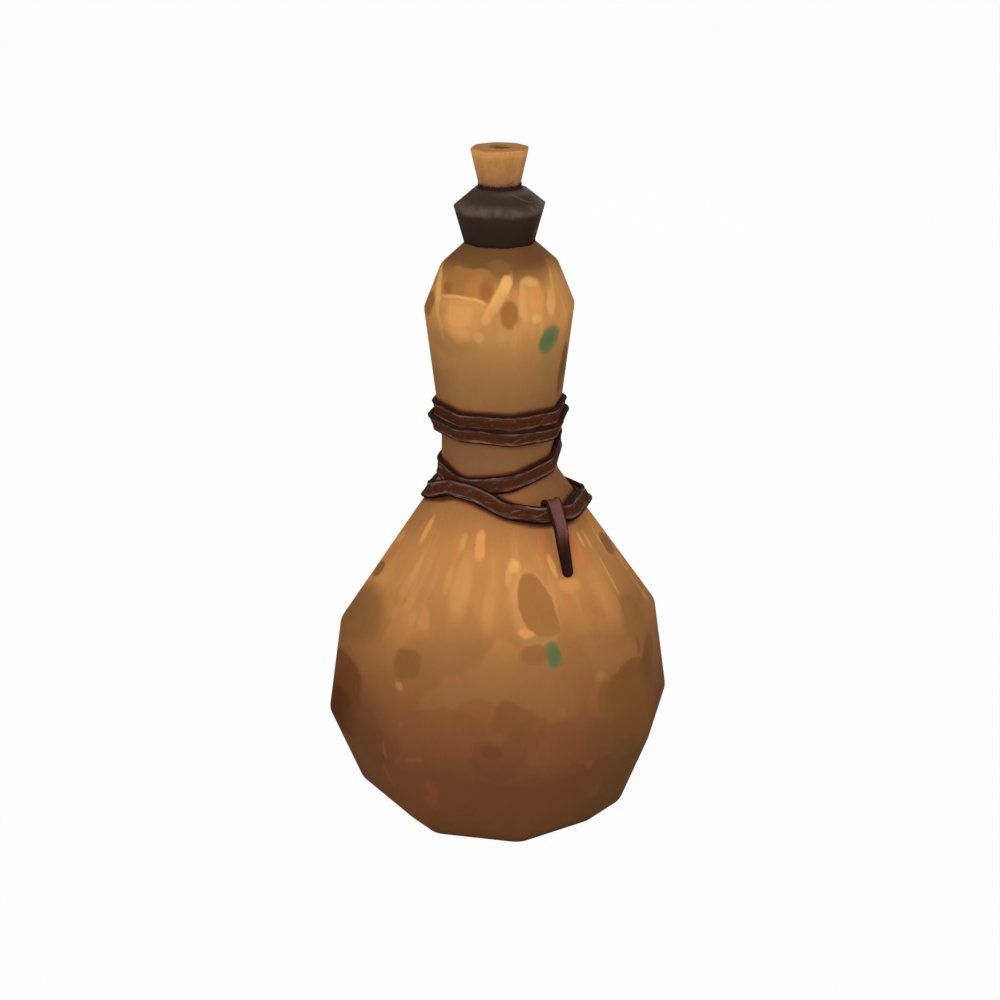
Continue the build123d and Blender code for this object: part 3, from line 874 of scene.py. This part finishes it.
cork, place = begin_finish("cork")
turn, height = measure(place)
cloud = place.noise(130, 3)
soft_height = (height + (cloud - 0.5) * 2.6 - head_base * 1000) / ((head_top - head_base) * 1000)
on_top = height.step(256.75, 257.0)
pit_place = place.node(
    "ShaderNodeMapping",
    {"vector_type": "TEXTURE"},
    {"Vector": place, "Location": (pit_middle, 0, head_top), "Scale": (0.0042, 0.0034, 0.0100)},
)
off_pit = place.vectors("LENGTH", pit_place, output="Value")
smear = (off_pit + (cloud - 0.5) * 0.9).step(1.25, 0.35) * on_top
in_pit = height.step(256.85, 256.4) * (1 - off_pit.step(0.75, 1.05))
cells = place.node(
    "ShaderNodeTexVoronoi", {"feature": "F1"}, {"Vector": place.stretched((700, 700, 420)), "Scale": 1.0}, "Distance"
)
pits = place.stretched((330, 330, 900)).noise(1.0, 2).step(0.66, 0.74)
off_middle = place.vectors("DISTANCE", place, (0, 0, 0.2569), output="Value") * 1000
smudge = (off_middle + (cloud - 0.5) * 3).step(4.6, 2.8)
# Darker on the left side, below the rim
left_darkening = turn.step(-150, -95) * turn.step(-5, -60) * height.step(256.8, 255.5)
# The cork is darker at its foot, painted shade in the joint where it sits in the collar
cork_colour = (
    soft_height.ramp([
        (0.00, (0.120, 0.050, 0.028)),
        (0.10, (0.290, 0.130, 0.060)),
        (0.30, (0.390, 0.178, 0.060)),
        (0.60, (0.430, 0.198, 0.060)),
        (0.76, (0.470, 0.212, 0.064)),
        (0.86, (0.580, 0.268, 0.083)),
        (0.97, (0.530, 0.245, 0.074)),
        (1.00, (0.400, 0.172, 0.050)),
    ])
    .blended((0.340, 0.142, 0.045), on_top * 0.8)
    .blended((0.120, 0.056, 0.022), smear)
    .blended((0.100, 0.046, 0.020), in_pit)
    .blended((0.200, 0.086, 0.034), pits * 0.50)
    .blended((0.150, 0.058, 0.020), smudge * 0.75)
    .shaded(0.96 + cells * 0.14 + cloud * 0.10 - left_darkening * 0.20)
)
end_finish(cork_colour, 0.70 + cells * 0.2, cells * 0.35 - pits * 0.9 + cloud * 0.5, 0.0003, Specular_IOR_Level=0.03)
paint(stopper, cork)
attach(stopper, "stopper")
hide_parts("cork_stopper")


# Thong: one flat leather strap, wound twice round the neck, dropped down the right side and wound on round the
# waist, where one turn humps over another. Its edges are rolled and stand up, and its middle lies lower.

strap_width = 0.0065
strap_thickness = 0.0014
strap_off_gourd = 0.0005
layer = strap_thickness + 0.00055
strap_start = 37.5
lean_reach = 0.003
way_step = 1.25
way_reach = 3
worn_down = 0.04
shoulder, waist = gourd_rings[3:5]

# Degrees wound so far, clockwise seen from above, height of the strap's middle above the waist in strap widths,
# layers of strap under its lower edge and under its upper edge, where it doesn't lie on the gourd
strap_route = [
    (0, 3.84),
    (38, 3.86),
    (98, 3.90),
    (134, 3.91),
    (190, 3.95),
    (268, 3.94),
    (308, 3.84),
    (330, 3.66),
    (344, 3.46, 0, 0.2),
    (353, 3.35, 0.2, 0.95),
    (362, 3.27, 0.1, 0.90),
    (374, 3.24, 0.0, 0.88),
    (388, 3.20, 0.0, 0.88),
    (402, 3.12, 0.1, 0.94),
    (418, 3.02, 0.2, 0.98),
    (438, 3.00, 0.2, 0.98),
    (458, 3.06, 0.25, 1.02),
    (494, 3.18, 0.4, 1.15),
    (550, 3.18, 0.4, 1.30),
    (598, 3.08, 0.2, 1.25),
    (628, 2.95, 0.1, 1.25),
    (652, 2.80, 0, 1.10),
    (668, 2.68, 0, 0.2),
    (686, 2.50),
    (704, 2.30),
    (722, 2.07),
    (740, 1.77),
    (758, 1.42),
    (776, 1.06),
    (797, 0.72),
    (818, 0.46),
    (838, 0.24),
    (855, 0.10),
    (873, 0.06),
    (891, 0.18),
    (911, 0.44),
    (935, 0.52),
    (960, 0.30),
    (983, -0.20),
    (998, -0.62),
    (1006, -0.86, 0.4, 0),
    (1014, -1.12, 1.10, 0.4),
    (1024, -1.42, 1.15, 0.9),
    (1036, -1.70, 1.15, 1.10),
    (1048, -1.86, 1.12, 1.10),
    (1062, -1.93, 1.10, 1.10),
    (1078, -1.87, 1.10, 1.10),
    (1098, -1.74, 1.10, 1.10),
    (1118, -1.64, 1.10, 1.10),
    (1136, -1.57, 1.10, 1.10),
    (1154, -1.50, 1.10, 1.10),
    (1167, -1.38, 1.05, 1.05),
    (1182, -1.14, 0.2, 0.5),
    (1193, -0.88, 0.1, 1.20),
    (1206, -0.48, 0.7, 1.60),
    (1218, -0.18, 1.15, 1.50),
    (1228, -0.05, 1.25, 1.45),
    (1239, -0.09, 1.20, 1.55),
    (1253, -0.44, 0.8, 1.65),
    (1263, -0.70, 0.3, 1.30),
    (1273, -0.93, 0, 0.5),
    (1288, -1.15),
    (1318, -1.50),
    (1345, -1.78),
    (1372, -1.96),
    (1398, -2.06),
    (1425, -2.06),
    (1458, -1.88),
    (1485, -1.76),
    (1507.5, -1.70),
]
strap_route = np.array([row + (0, 0) if len(row) == 2 else row for row in strap_route])


def gourd_reach(azimuth, height):
    """From the axis to the gourd's outer face, before its rings are softened."""
    heights, corners, roundings = zip(*gourd_rings)
    corner = np.interp(height, heights, corners)
    rounding = np.interp(height, heights, roundings)
    return float(outline_reach(corner, rounding, np.array(azimuth)))


def off_gourd(azimuth, height, distance):
    """A point that stands off the gourd by a distance, square to the wall's lean there."""
    rise = gourd_reach(azimuth, height - lean_reach) - gourd_reach(azimuth, height + lean_reach)
    lean = math.hypot(rise, 2 * lean_reach) / (2 * lean_reach)
    reach = gourd_reach(azimuth, height) + distance * lean
    return Vector((reach * math.cos(azimuth), reach * math.sin(azimuth), height))


def route_at(way):
    """Height of the strap's middle and its stand-off at both edges, on a smooth curve through the route."""
    last = len(strap_route) - 1
    after = min(max(int(np.searchsorted(strap_route[:, 0], way, side="right")), 1), last)
    a, b = strap_route[after - 1], strap_route[after]
    before = strap_route[max(after - 2, 0)]
    beyond = strap_route[min(after + 1, last)]
    span = b[0] - a[0]
    s = (way - a[0]) / span
    leaving = (b - before) / (b[0] - before[0]) * span
    arriving = (beyond - a) / (beyond[0] - a[0]) * span
    held = (2 * s**3 - 3 * s**2 + 1) * a + (3 * s**2 - 2 * s**3) * b
    way, rise, lower, upper = held + (s**3 - 2 * s**2 + s) * leaving + (s**3 - s**2) * arriving
    height = waist[0] + rise * strap_width
    return height, strap_off_gourd + max(lower, 0) * layer, strap_off_gourd + max(upper, 0) * layer


def strap_middle(way):
    height, lower, upper = route_at(way)
    return off_gourd(math.radians(strap_start - way), height, (lower + upper + strap_thickness) / 2)


def strap_edges(way):
    """The strap's inner lower edge, its inner upper edge, and the way out of its outer face."""
    height, lower, upper = route_at(way)
    azimuth = math.radians(strap_start - way)
    along = (strap_middle(way + way_reach) - strap_middle(way - way_reach)).normalized()
    climb = off_gourd(azimuth, height + lean_reach, 0) - off_gourd(azimuth, height - lean_reach, 0)
    across = along.cross(climb.cross(along).normalized())
    here = off_gourd(azimuth, height, strap_off_gourd)
    edges = []
    for side, distance in ((-0.5, lower), (0.5, upper)):
        point = here + across * side * strap_width
        edges.append(off_gourd(math.atan2(point.y, point.x), point.z, distance))
    middle = (edges[0] + edges[1]) / 2
    across = (edges[1] - edges[0]).normalized()
    outwards = across.cross(along).normalized()
    return middle - across * strap_width / 2, middle + across * strap_width / 2, outwards


# The strap's section, from its lower inner edge round: share of the width from the middle, height above the
# inner face as a share of the thickness, and where it lies on the leather's map
lower_half = [
    (-0.46, -0.20, -0.10),
    (-0.50, 0.05, -0.05),
    (-0.50, 0.60, 0.00),
    (-0.475, 0.88, 0.03),
    (-0.43, 1.00, 0.07),
    (-0.37, 0.99, 0.13),
    (-0.31, 0.86, 0.19),
    (-0.24, 0.78, 0.26),
    (-0.10, 0.76, 0.40),
]
upper_half = [(-side, rise, 1 - mark) for side, rise, mark in reversed(lower_half)]
strap_profile = lower_half + upper_half + [(0.15, -0.20, 1.30), (-0.15, -0.20, 1.50)]


def weave_strap(name, sections, lengths):
    """A strap through sections, each a list of points round it, with its map: length along in metres at u and
    place across at v. Both ends are closed."""
    count = len(strap_profile)
    points = [point for section in sections for point in section]
    faces = []
    mapping = []
    for row in range(len(sections) - 1):
        for i in range(count):
            j = (i + 1) % count
            faces.append((row * count + i, row * count + j, (row + 1) * count + j, (row + 1) * count + i))
            low = strap_profile[i][2]
            high = strap_profile[j][2] if j else strap_profile[i][2] + 0.2
            mapping += [(lengths[row + step], mark) for step, mark in ((0, low), (0, high), (1, high), (1, low))]
    last = (len(sections) - 1) * count
    for face, length in ((range(count - 1, -1, -1), lengths[0]), (range(last, last + count), lengths[-1])):
        faces.append(tuple(face))
        mapping += [(length, 0.0)] * count
    piece = make_piece(name, points, faces)
    layer_map = piece.data.uv_layers.new(name="strap")
    layer_map.data.foreach_set("uv", [value for pair in mapping for value in pair])
    return piece


def creased(length, side):
    """How far an edge or the middle of the old leather is off its place, as a share of the thickness."""
    slow = math.sin(length * 211 + side * 2.1) + 0.7 * math.sin(length * 523 + side * 5.3 + 1.0)
    quick = math.sin(length * 1310 + side * 9.0) * math.sin(length * 97 + 0.4)
    return 0.030 * slow + 0.025 * quick


def measure_along(points):
    """How far along a line each of its points is."""
    lengths = [0.0]
    for before, point in zip(points, points[1:]):
        lengths.append(lengths[-1] + (point - before).length)
    return lengths


ways = np.arange(0, strap_route[-1][0] + 0.1, way_step)
edges = [strap_edges(way) for way in ways]
spine = [(low + high) / 2 for low, high, outwards in edges]
lengths = measure_along(spine)
sections = []
for (low, high, outwards), middle, length in zip(edges, spine, lengths):
    section = []
    for side, rise, mark in strap_profile:
        worn_rise = rise * strap_thickness
        if 0 < mark < 1:
            worn_rise += creased(length, side) * strap_thickness - worn_down * strap_thickness
        section.append(middle + (high - low) * side + outwards * worn_rise)
    sections.append(section)
thong = weave_strap("thong", sections, lengths)

# The leather's map gives the length along the strap in metres, from 0 for the winding and from end_mark for its
# end, and the place across it
end_mark = 2.0
leather, spread = begin_finish("dark_leather", layer="strap")
place = spread.node("ShaderNodeTexCoord", {}, {}, "Object")
along = spread.node("ShaderNodeSeparateXYZ", {}, {0: spread}, "X")
mark = along.beside("Y")
off_middle = abs(mark - 0.5)
streaks = place.noise(420, 3, 0.6)
run = spread.combined(along * 150, mark * 9, 0.0).noise(1.0, 4, 0.6)
lower_ridge = mark.step(0.10, 0.165) * mark.step(0.27, 0.19)
upper_ridge = mark.step(0.72, 0.815) * mark.step(0.93, 0.865)
ridges = (lower_ridge + upper_ridge) * run.step(0.40, 0.58)
rubbed = off_middle.step(0.20, 0.34) * off_middle.step(0.45, 0.39) * run.step(0.53, 0.64)
scuffs = spread.combined(along * 300 + mark * 4.5, mark * 2.0 - along * 40, 0.0).noise(1.0, 3, 0.7)
scuffs = scuffs.step(0.56, 0.68) * off_middle.step(0.44, 0.30)
end_top = along.step(end_mark + 0.009, end_mark + 0.013) * along.step(end_mark + 0.029, end_mark + 0.020)
end_tip = along.step(end_mark + 0.0205, end_mark + 0.033)
# Across the strap, from its lower edge: the lower edge is near-black, a burnished edge that also stands as painted
# shadow under the strap
leather_colour = (
    (mark + (streaks - 0.5) * 0.07)
    .ramp([
        (0.000, (0.007, 0.003, 0.002)),
        (0.060, (0.010, 0.004, 0.003)),
        (0.120, (0.036, 0.012, 0.006)),
        (0.200, (0.066, 0.022, 0.010)),
        (0.450, (0.060, 0.017, 0.006)),
        (0.760, (0.064, 0.020, 0.009)),
        (0.870, (0.056, 0.021, 0.012)),
        (0.915, (0.012, 0.005, 0.003)),
        (0.955, (0.016, 0.007, 0.004)),
        (1.000, (0.036, 0.013, 0.008)),
    ])
    .blended((0.150, 0.080, 0.060), ridges * 0.85)
    .blended((0.230, 0.150, 0.118), rubbed * 0.75)
    .blended((0.150, 0.090, 0.068), scuffs * 0.65)
    .shaded(0.72 + streaks * 0.56)
    .blended((0.165, 0.074, 0.062), end_top * off_middle.step(0.46, 0.25) * 0.85)
    .blended((0.016, 0.0075, 0.004), end_tip * 0.92)
)
pebble = place.node(
    "ShaderNodeTexVoronoi", {"feature": "SMOOTH_F1"}, {"Vector": place, "Scale": 1700, "Smoothness": 0.4}, "Distance"
)
end_finish(
    leather_colour, 0.55 + streaks * 0.3, pebble * 0.4 + streaks * 0.8 + run * 0.5, 0.00025, Specular_IOR_Level=0.01
)
paint(thong, leather)
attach(thong, "root")
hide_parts("thong_winding")

# How far painted shade reaches onto the skin round the thong, as a share: 1 as far as its start distance past
# the thong's edges, and 0 from its reach further out
strap_shade_start = 0.0001
strap_shade_reach = 0.0015
strap_shade_heights = (0.112, 0.174)
spine = np.array(spine)
stand_off = np.array([sum(route_at(way)[1:]) / 2 for way in ways])
spots = np.array([vertex.co for vertex in gourd.data.vertices])
strap_shade_share = np.zeros(len(spots))
for i in range(wall_start, wall_end, around_gourd):
    if strap_shade_heights[0] < spots[i, 2] < strap_shade_heights[1]:
        away = ((spine[None] - spots[i : i + around_gourd, None]) ** 2).sum(axis=2) - stand_off**2
        away = np.sqrt(np.maximum(away, 0)).min(axis=1) - strap_width / 2
        strap_shade_share[i : i + around_gourd] = np.clip(1 - (away - strap_shade_start) / strap_shade_reach, 0, 1)
gourd.data.attributes.new("dye", "FLOAT", "POINT").data.foreach_set("value", strap_shade_share)


# Thong's end: it comes up behind the last turn, folds over that turn's upper edge and hangs in front of it,
# tapered to a blunt dark tip.

fold_way = 1155.5
fold_flat = math.radians(-45)
low, high, outwards = strap_edges(fold_way)
pivot = high + outwards * strap_thickness / 2
wall_out = Vector((math.cos(fold_flat), math.sin(fold_flat), 0))
drop = (shoulder[1] - waist[1]) * flat_share / (waist[0] - shoulder[0])
downwards = (wall_out * drop - Vector((0, 0, 1))).normalized()
sideways = downwards.cross(wall_out).normalized()
outwards = sideways.cross(downwards)
fold_radius = route_at(fold_way)[2] - strap_off_gourd
tuck_length = 0.0055
tail_length = 0.0270
tail_straight = 0.0074
tail_lean = math.radians(12)
tail_drift = 0.0008
tail_end_width = 0.0042
bend_lean = 0.15

# Points down the strap's middle: (down, out, sideways, width)
course = []
for share in np.linspace(0, 1, 6)[:-1]:
    course.append((tuck_length * (1 - share), -fold_radius, 0, strap_width))
for angle in np.linspace(-90, 90, 25):
    turn = math.radians(angle)
    course.append((-fold_radius * math.cos(turn), fold_radius * math.sin(turn), 0, strap_width))
for down in np.linspace(0, tail_length, 49)[1:]:
    past = max(down - tail_straight, 0)
    out = fold_radius - past * math.tan(tail_lean) * min(1, 0.35 + past / 0.010)
    share = down / (tail_length - tail_end_width / 2)
    width = strap_width + (tail_end_width - strap_width) * min(share, 1)
    to_tip = tail_length - down
    if to_tip < tail_end_width / 2:
        width = 2 * math.sqrt(max((tail_end_width / 2) ** 2 - (tail_end_width / 2 - to_tip) ** 2, 1e-8))
    course.append((down, out, tail_drift * min(share, 1), max(width, 0.0010)))
middles = [pivot + downwards * down + outwards * out + sideways * side for down, out, side, width in course]
sections = []
for i, (middle, (*_, width)) in enumerate(zip(middles, course)):
    ahead = (middles[min(i + 1, len(middles) - 1)] - middles[max(i - 1, 0)]).normalized()
    across = (sideways - ahead * sideways.dot(ahead)).normalized()
    face = across.cross(ahead).normalized()
    thinner = 1 - 0.35 * max(0, 1 - width / tail_end_width)
    section = []
    for share, rise, mark in strap_profile:
        height = (max(rise, 0.0) * thinner - 0.5) * strap_thickness
        section.append(middle + across * share * width + face * height)
    sections.append(section)
thong_end = weave_strap("thong_end", sections, [end_mark + length for length in measure_along(middles)])
paint(thong_end, leather)
bend_way = (outwards + downwards * bend_lean).normalized()
bend_share = math.hypot(1, bend_lean)
pivot - bend_way * 0.0006 / bend_share
pivot + bend_way * 0.0013 / bend_share
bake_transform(thong_end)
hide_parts("thong_tuck", "thong_fold", "thong_tail")
